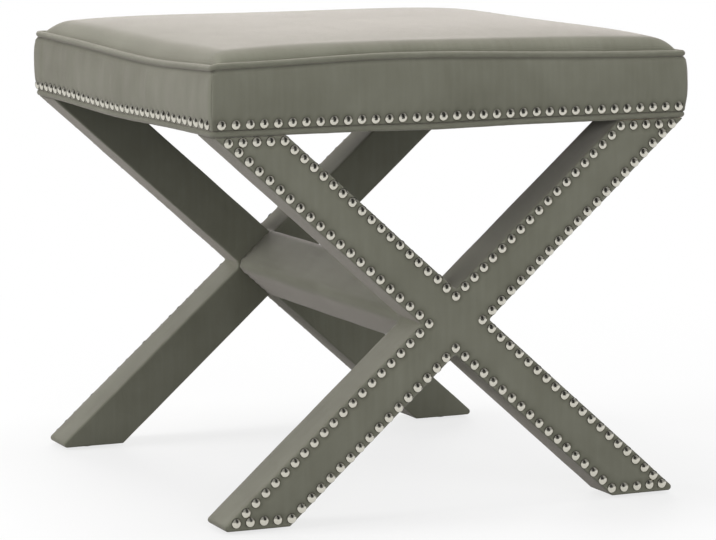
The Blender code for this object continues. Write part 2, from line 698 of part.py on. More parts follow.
def boxing_mesh(length):
    """A padded strip, flat behind and swelled in front, with its ends mitred. Its front faces -Y."""
    half = length / 2
    rows = [BOXING_BOTTOM + BOXING_HEIGHT * step / ARC_STEPS for step in range(ARC_STEPS + 1)]
    section = [(bulge_at(height), height) for height in rows]
    section += [(-BOXING_EDGE, BOXING_TOP), (-BOXING_EDGE, BOXING_BOTTOM)]
    reach = half + 2 * BOXING_BULGE
    shape = bmesh.new()
    shape.from_mesh(outline_mesh(section, -reach, reach))
    shape.transform(Matrix.Rotation(-math.pi / 2, 4, "Z"))
    for hand in (-1, 1):
        everything = shape.verts[:] + shape.edges[:] + shape.faces[:]
        cut = bmesh.ops.bisect_plane(
            shape,
            geom=everything,
            plane_co=(hand * (half - FIT), 0.0, 0.0),
            plane_no=(hand, 1.0, 0.0),
            clear_outer=True,
        )
        rim = [item for item in cut["geom_cut"] if isinstance(item, bmesh.types.BMEdge)]
        bmesh.ops.edgeloop_fill(shape, edges=rim)
    return finished_mesh(shape, "boxing")


def build_boxing():
    """Four boxing panels with a row of nails low on each."""
    sides = (
        ("front", SEAT_WIDTH, SEAT_DEPTH, 0.0),
        ("right", SEAT_DEPTH, SEAT_WIDTH, math.pi / 2),
        ("rear", SEAT_WIDTH, SEAT_DEPTH, math.pi),
        ("left", SEAT_DEPTH, SEAT_WIDTH, -math.pi / 2),
    )
    for name, length, span, turn in sides:
        outward = Matrix.Rotation(turn, 3, "Z") @ Vector((0.0, -1.0, 0.0))
        panel = add_part(name + "_boxing", boxing_mesh(length), FABRIC)
        panel.location = outward * span / 2
        panel.rotation_euler.z = turn
        reach = length / 2 - NAIL_INSET - BOXING_BULGE
        spots = nail_spots([(-reach, NAIL_LEVEL), (reach, NAIL_LEVEL)], SEAT_NAIL_PITCH, False)
        nails = add_part(name + "_seat_nails", nail_strip_mesh(spots, False), NICKEL)
        nails.location = outward * (span / 2 + bulge_at(NAIL_LEVEL + NAIL_RADIUS) + FIT)
        nails.rotation_euler.z = turn


def build_piping(name, height):
    """A covered cord laid round the seat as one closed ring with small round corners."""
    half_x = SEAT_WIDTH / 2 - PIPING_RADIUS
    half_y = SEAT_DEPTH / 2 - PIPING_RADIUS
    curve = bpy.data.curves.new(name, "CURVE")
    curve.dimensions = "3D"
    curve.bevel_depth = PIPING_RADIUS
    curve.bevel_resolution = 1
    spline = curve.splines.new("POLY")
    points = []
    for quarter in range(4):
        hand = 1 if quarter in (0, 3) else -1
        side = 1 if quarter in (0, 1) else -1
        for step in range(PIPING_STEPS + 1):
            angle = math.pi / 2 * (quarter + step / PIPING_STEPS)
            x = hand * (half_x - PIPING_CORNER) + PIPING_CORNER * math.cos(angle)
            y = side * (half_y - PIPING_CORNER) + PIPING_CORNER * math.sin(angle)
            points.append((x, y, height))
    spline.points.add(len(points) - 1)
    for point, place in zip(spline.points, points):
        point.co = (*place, 1.0)
    spline.use_cyclic_u = True
    ring = bpy.data.objects.new(name, curve)
    PARTS.objects.link(ring)
    curve.materials.append(FABRIC)


clear_scene()
PARTS = new_collection("footstool")
CUTTERS = new_collection("footstool_cutters")
FABRIC = material("grey_green_fabric", 140, 137, 127, 0.8)
NICKEL = material("polished_nickel", 205, 203, 198, 0.22, 1.0)
TIMBER = material("pale_timber", 196, 164, 118, 0.6)
PLYWOOD = material("plywood", 206, 178, 134, 0.6)
STEEL = material("zinc_plated_steel", 176, 178, 180, 0.35, 1.0)
NYLON = material("dark_nylon", 46, 44, 42, 0.5)
LINING = material("black_lining", 34, 34, 36, 0.9)
FOAM = material("cream_foam", 232, 222, 190, 0.95)
FIBRE = material("white_fibre", 240, 240, 236, 0.95)

FRAMES = [build_frame("front", -1), build_frame("rear", 1)]
build_stretcher(FRAMES)
build_rails()
build_boards()
build_cushion()
build_boxing()
build_piping("seat_piping", PIPING_HEIGHT)
build_piping("base_piping", SEAT_BOTTOM + PIPING_RADIUS)
bpy.context.view_layer.update()
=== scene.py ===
import math

import bpy
import numpy as np
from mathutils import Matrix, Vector, geometry, noise


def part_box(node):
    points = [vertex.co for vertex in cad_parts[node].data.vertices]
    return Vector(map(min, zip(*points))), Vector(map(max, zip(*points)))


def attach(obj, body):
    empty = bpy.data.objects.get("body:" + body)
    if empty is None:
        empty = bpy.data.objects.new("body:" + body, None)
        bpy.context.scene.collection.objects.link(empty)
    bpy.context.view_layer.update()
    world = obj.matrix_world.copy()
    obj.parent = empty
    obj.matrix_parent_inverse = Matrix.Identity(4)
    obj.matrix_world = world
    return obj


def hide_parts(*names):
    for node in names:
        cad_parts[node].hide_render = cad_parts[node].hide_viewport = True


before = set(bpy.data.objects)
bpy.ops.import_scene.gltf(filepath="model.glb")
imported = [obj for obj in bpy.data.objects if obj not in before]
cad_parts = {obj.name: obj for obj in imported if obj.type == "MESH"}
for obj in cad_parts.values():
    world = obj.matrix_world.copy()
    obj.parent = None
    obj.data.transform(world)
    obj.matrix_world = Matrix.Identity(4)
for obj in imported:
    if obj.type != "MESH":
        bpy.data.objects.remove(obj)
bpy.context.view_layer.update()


# Timber: half-lapped legs, the stretcher's core, the four seat rails and the dowels.
# Pale hardwood, sawn along its length, planed and left raw, because the covers hide it.
# The grain runs with each piece, so each direction of grain has its own finish.
def add_node(graph, kind, inputs=(), **settings):
    """A shader node with its inputs set to constants or joined to other outputs."""
    made = graph.nodes.new("ShaderNode" + kind)
    for key, value in settings.items():
        setattr(made, key, value)
    for key, value in dict(inputs).items():
        if isinstance(value, bpy.types.NodeSocket):
            graph.links.new(value, made.inputs[key])
        else:
            made.inputs[key].default_value = value
    return made


def new_finish(name, **constants):
    """A material, its graph and its shader, with these constants on the shader."""
    made = bpy.data.materials.new(name)
    made.use_nodes = True
    shader = made.node_tree.nodes["Principled BSDF"]
    for key, value in constants.items():
        shader.inputs[key.replace("_", " ")].default_value = value
    return made, made.node_tree, shader


def colour(red, green, blue):
    """A colour written as a screen shows it, from 0 to 255, as the shader wants it."""
    shares = np.array((red, green, blue)) / 255
    linear = np.where(shares <= 0.04045, shares / 12.92, ((shares + 0.055) / 1.055) ** 2.4)
    return (*linear, 1.0)


def blend_of(graph, share, *stops):
    """The colour at a share along a row of (place, colour) stops."""
    ramp = add_node(graph, "ValToRGB", {"Fac": share})
    marks = ramp.color_ramp.elements
    while len(marks) < len(stops):
        marks.new(0.5)
    for mark, (place, tint) in zip(marks, stops):
        mark.position = place
        mark.color = tint
    return ramp.outputs["Color"]


def spread_of(graph, share, low, high):
    """A value that runs from low to high as the share runs from 0 to 1."""
    ends = {"Value": share, "To Min": low, "To Max": high}
    return add_node(graph, "MapRange", ends).outputs["Result"]


def bump_of(graph, height, strength, distance):
    sizes = {"Height": height, "Strength": strength, "Distance": distance}
    return add_node(graph, "Bump", sizes).outputs["Normal"]


def join_looks(graph, shader, tint, roughness, relief):
    """Join a finish's colour, roughness and bump to its shader."""
    for key, value in (("Base Color", tint), ("Roughness", roughness), ("Normal", relief)):
        graph.links.new(value, shader.inputs[key])


def mottle_of(graph, place, scale, detail, output="Fac"):
    """An uneven share around a half, finer as the scale grows, or a colour as uneven."""
    sizes = {"Vector": place, "Scale": scale, "Detail": detail}
    return add_node(graph, "TexNoise", sizes).outputs[output]


def dress(finish, *names):
    """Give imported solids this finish."""
    for name in names:
        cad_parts[name].material_slots[0].material = finish


def raw_timber(name, grain):
    finish, graph, shader = new_finish(name)
    place = add_node(graph, "TexCoord").outputs["Object"]
    along = Vector(grain).normalized()
    aside = along.orthogonal().normalized()
    shares = {}
    for index, (axis, stretch) in enumerate(((along, 5.0), (aside, 120.0), (along.cross(aside), 120.0))):
        dot = {0: place, 1: axis * stretch}
        shares[index] = add_node(graph, "VectorMath", dot, operation="DOT_PRODUCT").outputs["Value"]
    fibre = add_node(graph, "CombineXYZ", shares).outputs["Vector"]
    figure = mottle_of(graph, fibre, 0.6, 5.0)
    pores = mottle_of(graph, fibre, 4.0, 2.0)
    dark, warm, pale = colour(164, 126, 82), colour(196, 162, 114), colour(214, 184, 138)
    tint = blend_of(graph, figure, (0.3, dark), (0.48, warm), (0.7, pale))
    join_looks(graph, shader, tint, spread_of(graph, pores, 0.5, 0.75), bump_of(graph, pores, 0.3, 0.0003))
    return finish


LEG_WIDTH = 0.0485
wrap_low, wrap_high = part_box("front_frame_wrap")
sleeve_low, sleeve_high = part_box("stretcher_cover")
FOOT, HEAD = wrap_low.z, wrap_high.z
CROSSING = (sleeve_low.z + sleeve_high.z) / 2
half_diagonal = math.hypot(HEAD - CROSSING, wrap_high.x)
LEG_ANGLE = math.atan2(HEAD - CROSSING, wrap_high.x) + math.asin(LEG_WIDTH / 2 / half_diagonal)
up_right = (math.cos(LEG_ANGLE), 0.0, math.sin(LEG_ANGLE))
up_left = (-math.cos(LEG_ANGLE), 0.0, math.sin(LEG_ANGLE))
dowels = [f"{end}_dowel_{number}" for end in ("front", "rear") for number in (1, 2)]
dress(raw_timber("timber_up_right", up_right), "front_rising_leg", "rear_falling_leg")
dress(raw_timber("timber_up_left", up_left), "front_falling_leg", "rear_rising_leg")
dress(raw_timber("timber_crosswise", (1, 0, 0)), "front_rail", "rear_rail")
dress(raw_timber("timber_lengthwise", (0, 1, 0)), "left_rail", "right_rail", "stretcher_core", *dowels)


# Fixings: the stretcher's bolts, washers and barrel nuts, and the leg and deck screws.
# Turned steel, zinc plated to a dull silver with a faint spangle, sunk in the timber.
zinc, graph, shader = new_finish("zinc_plate", Metallic=1.0)
place = add_node(graph, "TexCoord").outputs["Object"]
spangle = add_node(graph, "TexVoronoi", {"Vector": place, "Scale": 700.0}).outputs["Distance"]
haze = mottle_of(graph, place, 260.0, 3.0)
tint = blend_of(graph, spangle, (0.1, colour(164, 167, 171)), (0.8, colour(192, 194, 196)))
join_looks(graph, shader, tint, spread_of(graph, haze, 0.25, 0.5), bump_of(graph, haze, 0.15, 0.0001))
for end in ("front", "rear"):
    dress(zinc, f"{end}_cross_bolt", f"{end}_cross_washer", f"{end}_barrel_nut")
    dress(zinc, *(f"{end}_leg_screw_{number}" for number in (1, 2, 3, 4)))
dress(zinc, *(f"deck_screw_{number}" for number in (1, 2, 3, 4)))


# Boards: the thin base board under the rails and the deck that carries the foam.
# Birch plywood, cut square, with its plies showing on the cut edges, screwed to the rails.
plies, graph, shader = new_finish("birch_plywood")
place = add_node(graph, "TexCoord").outputs["Object"]
ply = add_node(graph, "TexWave", {"Vector": place, "Scale": 110.0}, bands_direction="Z").outputs["Fac"]
sweep = {"Vector": place, "Scale": (4.0, 90.0, 240.0)}
grain = add_node(graph, "Mapping", sweep).outputs["Vector"]
figure = mottle_of(graph, grain, 1.0, 4.0)
level = add_node(graph, "Math", {0: ply, 1: figure}, operation="MULTIPLY").outputs["Value"]
tint = blend_of(graph, level, (0.1, colour(176, 140, 96)), (0.5, colour(214, 186, 142)))
join_looks(graph, shader, tint, spread_of(graph, figure, 0.45, 0.7), bump_of(graph, figure, 0.2, 0.0003))
dress(plies, "base_board", "seat_deck")


# Glides: four round pads under the feet, each nailed up through the fabric by its pin.
# Moulded nylon, nearly black, matt with a fine mould grain and scuffed underneath.
nylon, graph, shader = new_finish("dark_nylon")
place = add_node(graph, "TexCoord").outputs["Object"]
pebble = mottle_of(graph, place, 900.0, 2.0)
scuff = mottle_of(graph, place, 160.0, 4.0)
tint = blend_of(graph, scuff, (0.45, colour(40, 38, 36)), (0.7, colour(66, 63, 60)))
join_looks(graph, shader, tint, spread_of(graph, pebble, 0.4, 0.62), bump_of(graph, pebble, 0.25, 0.0002))
dress(nylon, *(f"{end}_glide_{number}" for end in ("front", "rear") for number in (1, 2)))


# Stretcher cover: a sleeve of the seat's fabric round the beam between the two crossings.
# Velvety grey-green cloth over wadding, which rounds the beam's four ridges, stitched along the
# lowest one. Its ends are tucked against the inner faces of the X frames.
def upholstery(name):
    """Close woven cloth with a soft nap, cloudy where the pile leans, darker where a mesh attribute paints
    shade and paler where it paints light.
    """
    finish, graph, shader = new_finish(
        name, Sheen_Weight=0.6, Sheen_Roughness=0.4, Sheen_Tint=colour(255, 243, 241),
        Specular_IOR_Level=0.2,
    )
    thread = add_node(graph, "Attribute", attribute_name="thread").outputs["Vector"]
    drift = mottle_of(graph, thread, 55.0, 2.0, output="Color")
    waver = add_node(graph, "VectorMath", {0: drift, 1: (0.0012, 0.0012, 0.0)}, operation="MULTIPLY")
    loose = add_node(graph, "VectorMath", {0: thread, 1: waver.outputs["Vector"]}).outputs["Vector"]
    close = {"Vector": loose, "Scale": 420.0}
    warp = add_node(graph, "TexWave", close, bands_direction="X").outputs["Fac"]
    weft = add_node(graph, "TexWave", close, bands_direction="Y").outputs["Fac"]
    over = add_node(graph, "TexChecker", {"Vector": loose, "Scale": 1337.0}).outputs["Fac"]
    weave = add_node(graph, "Mix", {"Factor": over, "A": warp, "B": weft}).outputs["Result"]
    drawn_out = {"Vector": thread, "Scale": (170.0, 12.0, 1.0)}
    slub = mottle_of(graph, add_node(graph, "Mapping", drawn_out).outputs["Vector"], 1.0, 4.0)
    cloud = mottle_of(graph, thread, 26.0, 4.0)
    lean = mottle_of(graph, thread, 9.0, 2.0)
    # Painted shading from the mesh: shade painted round the nails and in the boxing's foot seam, light
    # painted at the foot of the side strips.
    painted_shading = add_node(graph, "Attribute", attribute_name="painted_shading").outputs["Fac"]
    level = None
    for part, weight in ((weave, 0.2), (slub, 0.2), (cloud, 0.3), (lean, 0.3), (painted_shading, -0.22)):
        share = add_node(graph, "Math", {0: part, 1: weight}, operation="MULTIPLY").outputs["Value"]
        if level is not None:
            share = add_node(graph, "Math", {0: level, 1: share}, operation="ADD").outputs["Value"]
        level = share
    tints = ((0.0, (84, 83, 72)), (0.3, (130, 130, 115)), (0.5, (143, 143, 128)), (0.7, (156, 156, 141)))
    tint = blend_of(graph, level, *((place, colour(*shade)) for place, shade in tints))
    relief = add_node(graph, "Mix", {"Factor": 0.35, "A": weave, "B": slub}).outputs["Result"]
    join_looks(graph, shader, tint, spread_of(graph, slub, 0.95, 0.78), bump_of(graph, relief, 0.35, 0.0004))
    return finish


def rounded_loop(corners, radii, spacing=0.003, counts=None):
    """Points and outward directions round an outline with rounded corners, and its points per run."""
    arcs = []
    for index, (corner, radius) in enumerate(zip(corners, radii)):
        here = Vector(corner)
        before = (Vector(corners[index - 1]) - here).normalized()
        after = (Vector(corners[(index + 1) % len(corners)]) - here).normalized()
        half = before.angle(after) / 2
        centre = here + (before + after).normalized() * radius / math.sin(half)
        hand = 1 if before.x * after.y - before.y * after.x < 0 else -1
        first = here + before * radius / math.tan(half) - centre
        bearing = math.atan2(first.y, first.x)
        turn = math.pi - 2 * half
        angles = [bearing + hand * turn * step / 6 for step in range(7)]
        arcs.append([(centre + Vector((math.cos(a), math.sin(a))) * radius, hand, a) for a in angles])
    ends = [(arc[-1][0], arcs[(index + 1) % len(arcs)][0][0]) for index, arc in enumerate(arcs)]
    counts = counts or [max(1, round((end - start).length / spacing)) for start, end in ends]
    points, outward = [], []
    for arc, (start, end), count in zip(arcs, ends, counts):
        for point, hand, angle in arc:
            points.append(point)
            outward.append(Vector((math.cos(angle), math.sin(angle))) * hand)
        for step in range(1, count):
            points.append(start.lerp(end, step / count))
            outward.append(outward[-1])
    return np.array(points), np.array(outward), counts


def distance_round(loop):
    """Distance along a closed loop to each of its points, and once round."""
    steps = np.linalg.norm(np.roll(loop, -1, axis=0) - loop, axis=1)
    return np.concatenate(([0.0], np.cumsum(steps)))


def ring_faces(rows, columns, closed=True):
    """Quads between rows of points, as (row, column) pairs, with the outer side out."""
    last = columns if closed else columns - 1
    return [
        [(row, column), (row + 1, column), (row + 1, column + 1), (row, column + 1)]
        for row in range(rows - 1)
        for column in range(last)
    ]


def add_piece(name, places, faces, threads, finish):
    """A smooth mesh whose face corners know their place on the flat cloth, in metres."""
    mesh = bpy.data.meshes.new(name)
    mesh.from_pydata([tuple(place) for place in places], [], faces)
    if threads is not None:
        flat = mesh.attributes.new("thread", "FLOAT_VECTOR", "CORNER")
        flat.data.foreach_set("vector", np.array(threads, float).ravel())
    mesh.materials.append(finish)
    mesh.shade_smooth()
    mesh.validate()
    piece = bpy.data.objects.new(name, mesh)
    bpy.context.scene.collection.objects.link(piece)
    return piece


def give_thickness(piece, thickness):
    """Turn a piece of skin into cloth of that thickness, inward from the skin."""
    layer = piece.modifiers.new("cloth", "SOLIDIFY")
    layer.thickness = thickness
    layer.offset = -1.0
    layer.use_even_offset = True
    apply_modifiers(piece)


def apply_modifiers(piece):
    view = bpy.context.evaluated_depsgraph_get()
    shown = piece.evaluated_get(view)
    done = bpy.data.meshes.new_from_object(shown, preserve_all_data_layers=True, depsgraph=view)
    piece.modifiers.clear()
    piece.data = done


def wavering(places, scale, seed):
    """Smooth noise from -1 to 1 at each place, for cloth that is never quite flat."""
    shift = Vector((seed, 2.7 * seed, 4.1 * seed))
    return np.array([noise.noise(Vector(place) * scale + shift) for place in places])


velvet = upholstery("grey_green_velvet")
CLOTH = 0.0012
SLEEVE_PAD = 0.0045
SLEEVE_SWELL = 0.0008
SLEEVE_WAVER = 0.00035
SLEEVE_ROWS = 140
TUCK_DEPTH = 0.0006
TUCK_PITCH = 0.009
TUCK_REACH = 0.012
RIDGE_ROUND = 0.009
sleeve_half = LEG_WIDTH / 2 + SLEEVE_PAD
ridge_x, ridge_z = sleeve_half / math.sin(LEG_ANGLE), sleeve_half / math.cos(LEG_ANGLE)
ridges = [(-ridge_x, CROSSING), (0.0, CROSSING - ridge_z), (ridge_x, CROSSING), (0.0, CROSSING + ridge_z)]
loop, outward, _ = rounded_loop(ridges, [RIDGE_ROUND] * 4)
rows = np.linspace(sleeve_low.y, sleeve_high.y, SLEEVE_ROWS)
columns = len(loop)
around = distance_round(loop)
lean_in = np.abs(loop[:, 0]) / ridge_x
places = []
for y in rows:
    near_end = math.exp(-min(y - sleeve_low.y, sleeve_high.y - y) / TUCK_REACH)
    ring = np.column_stack((loop[:, 0], np.full(columns, y), loop[:, 1]))
    pad = SLEEVE_SWELL * 4 * lean_in * (1 - lean_in) * (1 - near_end)
    soft = SLEEVE_WAVER * wavering(ring, 24.0, 1.0)
    tucks = TUCK_DEPTH * near_end * np.sin(around[:-1] / TUCK_PITCH * math.tau + 1.3 * math.sin(40 * y))
    push = (pad + soft + tucks)[:, None] * outward
    places.extend(ring + np.column_stack((push[:, 0], np.zeros(columns), push[:, 1])))
quads = ring_faces(len(rows), columns)
faces = [[row * columns + column % columns for row, column in quad] for quad in quads]
threads = [(around[column], rows[row], 0.0) for quad in quads for row, column in quad]
sleeve = add_piece("stretcher_sleeve", places, faces, threads, velvet)
give_thickness(sleeve, CLOTH)
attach(sleeve, "root")
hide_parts("stretcher_cover")


# X frame covers: the fabric over each pair of crossed legs, front and rear.
# The same cloth over a thin layer of wadding, rolled round the timber's edges, with the outer
# panel held by the nails and swelling a little between their rows.
EDGE_ROLL = 0.002
TIP_ROUND = 0.0035
FOOT_ROUND = 0.003
HEAD_ROUND = 0.0024
HEAD_TIP_ROUND = 0.0008
NOTCH_ROUND = 0.002
INNER_NOTCH_ROUND = 0.008
FRAME_DEPTH = wrap_high.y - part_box("front_frame_face")[0].y
SEAT_HALF_DEPTH = -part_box("front_frame_face")[0].y
NAIL_INSET = 0.0052
FOOT_NAIL_INSET = 0.008
NAIL_PITCH = 0.0137
NAIL_WANDER = 0.0005
NAIL_DENT = 0.0008
DENT_WIDTH = 0.0065
NAIL_SHADE_START = 0.0048
NAIL_SHADE_FADE = 0.0022
EDGE_WAVER = 0.0003
EDGE_EASE = 0.003
FACE_SWELL = 0.0011
SWELL_START = 0.0040
SWELL_RUN = 0.012
FACE_WAVER = 0.0002
FACE_SPACING = 0.0024
INNER_SPACING = 0.006


def edge_x(height, lean, side, half):
    """Where the left (-1) or right (+1) edge of a rising or falling leg is at a height."""
    return (side * half + lean * (height - CROSSING) * math.cos(LEG_ANGLE)) / math.sin(LEG_ANGLE)


def cross_corners(inset, foot_inset):
    """The X seen from outside, foot by foot round its four notches, drawn in by an inset."""
    half, bottom, top = LEG_WIDTH / 2 - inset, FOOT + foot_inset, HEAD - inset
    wide, high = half / math.sin(LEG_ANGLE), half / math.cos(LEG_ANGLE)
    feet = [(edge_x(bottom, lean, side, half), bottom) for lean in (1, -1) for side in (-1, 1)]
    tops = [(edge_x(top, lean, side, half), top) for lean in (1, -1) for side in (1, -1)]
    return [
        *feet[:2], (0.0, CROSSING - high), *feet[2:], (wide, CROSSING),
        *tops[:2], (0.0, CROSSING + high), *tops[2:], (-wide, CROSSING),
    ]


def frame_nail_spots():
    """Evenly spaced nails round the X, one at every corner, a little uneven as by hand."""
    corners = cross_corners(NAIL_INSET, FOOT_NAIL_INSET)
    spots = []
    for start, end in zip(corners, corners[1:] + corners[:1]):
        count = max(1, round(math.dist(start, end) / NAIL_PITCH))
        spots.extend(Vector(start).lerp(Vector(end), step / count) for step in range(count))
    spots = np.array(spots)
    uneven = [noise.noise_vector(Vector((7.3 * index, 1.9, 0.4))) for index in range(len(spots))]
    return spots + NAIL_WANDER * np.array([(shift.x, shift.z) for shift in uneven])


def distance_to_outline(points, corners):
    found = np.full(len(points), 1.0)
    for start, end in zip(np.array(corners), np.roll(np.array(corners), -1, axis=0)):
        run = end - start
        share = np.clip((points - start) @ run / (run @ run), 0, 1)
        found = np.minimum(found, np.linalg.norm(points - start - share[:, None] * run, axis=1))
    return found


def inside_cross(points, margin):
    """Which points are on the X, at least a margin from its edges."""
    rising = points[:, 0] * math.sin(LEG_ANGLE) - (points[:, 1] - CROSSING) * math.cos(LEG_ANGLE)
    falling = points[:, 0] * math.sin(LEG_ANGLE) + (points[:, 1] - CROSSING) * math.cos(LEG_ANGLE)
    on_leg = np.minimum(np.abs(rising), np.abs(falling)) < LEG_WIDTH / 2 - margin
    return on_leg & (points[:, 1] > FOOT + margin) & (points[:, 1] < HEAD - margin)


def filled_loop(loop, spacing):
    """Triangles over a loop with a staggered field of points inside: points, faces and their sources."""
    level, field = FOOT, []
    while level < HEAD:
        shift = 0.5 * spacing * (round((level - FOOT) / spacing) % 2)
        field.extend((x + shift, level) for x in np.arange(-wrap_high.x, wrap_high.x, spacing))
        level += spacing
    field = np.array(field)
    keep = inside_cross(field, EDGE_ROLL + 0.6 * spacing)
    tips = distance_to_outline(field, loop) > 0.6 * spacing
    points = [Vector(p) for p in (*loop, *field[keep & tips])]
    made = geometry.delaunay_2d_cdt(points, [], [list(range(len(loop)))], 1, 1e-7)
    return np.array(made[0]), made[2], made[3]


def painted_nail_shade(gap):
    """How much shade is painted round a nail, by the distance to its middle."""
    return np.exp(-((np.maximum(gap - NAIL_SHADE_START, 0.0) / NAIL_SHADE_FADE) ** 2))


def frame_skin():
    """The cover's skin, its outer face at Y 0: places, faces, places on the cloth and painted shade round
    the nails.
    """
    foot, notch, head = [TIP_ROUND, FOOT_ROUND], -NOTCH_ROUND, [HEAD_TIP_ROUND, HEAD_ROUND]
    rounds = np.array([*foot, notch, *foot[::-1], notch, *head, notch, *head[::-1], notch])
    bends = [math.pi / 2 * step / 4 for step in range(5)]
    roll = [(EDGE_ROLL * (1 - math.sin(a)), EDGE_ROLL * (1 - math.cos(a))) for a in bends]
    sides = [(0.0, EDGE_ROLL + (FRAME_DEPTH - 2 * EDGE_ROLL) * step / 9) for step in range(1, 9)]
    rings = roll + sides + [(inset, FRAME_DEPTH - depth) for inset, depth in reversed(roll)]
    loop, _, counts = rounded_loop(cross_corners(0.0, 0.0), np.abs(rounds))
    columns = len(loop)
    places = []
    for inset, depth in rings:
        loose = (INNER_NOTCH_ROUND - NOTCH_ROUND) * (depth / FRAME_DEPTH) ** 1.5
        radii = np.where(rounds < 0, inset + loose - rounds, np.maximum(rounds - inset, 0.0004))
        flat, outward, _ = rounded_loop(cross_corners(inset, inset), radii, counts=counts)
        ring = np.column_stack((flat[:, 0], np.full(columns, depth), flat[:, 1]))
        soft = EDGE_WAVER * (1 - inset / EDGE_ROLL) * (0.3 + wavering(ring, 30.0, 2.0))
        push = soft[:, None] * outward
        places.extend(ring + np.column_stack((push[:, 0], np.zeros(columns), push[:, 1])))
    rim = np.array(places[:columns])[:, [0, 2]]
    run = distance_round(loop)
    faces, threads, painted_shading = [], [], [0.0] * len(places)
    for quad in ring_faces(len(rings), columns):
        low = min(loop[column % columns][1] for row, column in quad)
        open_top = low > HEAD - 1e-5 and len(roll) - 1 <= quad[0][0] < len(rings) - len(roll)
        if not open_top:
            faces.append([row * columns + column % columns for row, column in quad])
            threads.extend((rings[row][1] - rings[row][0], run[column], 0.0) for row, column in quad)
    nails = frame_nail_spots()
    inner_first = (len(rings) - 1) * columns
    for first, spacing, outer in ((0, FACE_SPACING, True), (inner_first, INNER_SPACING, False)):
        points, triangles, sources = filled_loop(rim, spacing)
        fresh = {}
        edge_gap = distance_to_outline(points, loop)
        share = np.clip((edge_gap - SWELL_START) / SWELL_RUN, 0, 1)
        swell = FACE_SWELL * share * share * (3 - 2 * share)
        nail_gap = np.min(np.linalg.norm(points[:, None] - nails[None], axis=2), axis=1)
        if outer:
            dent = NAIL_DENT * np.exp(-((nail_gap / DENT_WIDTH) ** 2))
            swell -= dent * np.clip(edge_gap / EDGE_EASE, 0, 1)
        depth = -swell if outer else FRAME_DEPTH + 0.5 * swell
        lie = np.column_stack((points[:, 0], depth, points[:, 1]))
        lie[:, 1] += FACE_WAVER * share * wavering(lie, 45.0, 3.0)
        for index, source in enumerate(sources):
            if source and source[0] < columns:
                fresh[index] = first + source[0]
            else:
                fresh[index] = len(places)
                places.append(lie[index])
                # Painted shade round each nail, on the outer face only.
                painted_shading.append(painted_nail_shade(nail_gap[index]) if outer else 0.0)
        for triangle in triangles:
            ordered = triangle if outer else triangle[::-1]
            faces.append([fresh[index] for index in ordered])
            threads.extend((points[index][0], points[index][1], 0.0) for index in ordered)
    return np.array(places), faces, threads, painted_shading


skin_places, skin_faces, skin_threads, skin_painted_shading = frame_skin()
for end, hand in (("front", -1), ("rear", 1)):
    turned_places = skin_places * (-hand, -hand, 1) + (0.0, hand * SEAT_HALF_DEPTH, 0.0)
    cover = add_piece(f"{end}_frame_cover", turned_places, skin_faces, skin_threads, velvet)
    # The painted shade round the nails goes into the velvet's colour.
    cover.data.attributes.new("painted_shading", "FLOAT", "POINT").data.foreach_set("value", skin_painted_shading)
    give_thickness(cover, CLOTH)
    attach(cover, "root")
    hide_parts(f"{end}_frame_wrap", f"{end}_frame_face")


# Frame nails: a close row of decorative nails round the outer face of each X.
# Domed steel heads, nickel plated and polished, hammered by hand through the fabric,
# so that no two sit quite alike.
NAIL_RADIUS = 0.0051
NAIL_DOME = 0.0025
NAIL_SIDES = 20
NAIL_TILT = 0.07
BRIM_HEIGHT = 0.0003
HOLLOW_DEPTH = 0.0009


def polished_nickel():
    finish, graph, shader = new_finish("polished_nickel", Metallic=1.0)
    place = add_node(graph, "TexCoord").outputs["Object"]
    haze = mottle_of(graph, place, 420.0, 4.0)
    hammer = mottle_of(graph, place, 300.0, 1.0)
    # Painted shade: the heads darken towards their rims, where they meet the cloth.
    rim = add_node(graph, "Attribute", attribute_name="rim").outputs["Fac"]
    tint = blend_of(graph, rim, (0.65, colour(208, 205, 193)), (1.0, colour(72, 68, 61)))
    join_looks(graph, shader, tint, spread_of(graph, haze, 0.16, 0.32), bump_of(graph, hammer, 0.10, 0.0004))
    return finish


def nail_profile():
    """Radius and height of a domed head, from the edge of its hollow foot to near its crown."""
    ball = (NAIL_RADIUS**2 + NAIL_DOME**2) / (2 * NAIL_DOME)
    brim = math.asin(NAIL_RADIUS / ball)
    angles = [brim * (1 - step / 7) for step in range(7)]
    dome = [(ball * math.sin(a), ball * (math.cos(a) - math.cos(brim)) + BRIM_HEIGHT) for a in angles]
    return [(0.94 * NAIL_RADIUS, -HOLLOW_DEPTH), (NAIL_RADIUS, 0.0), *dome]


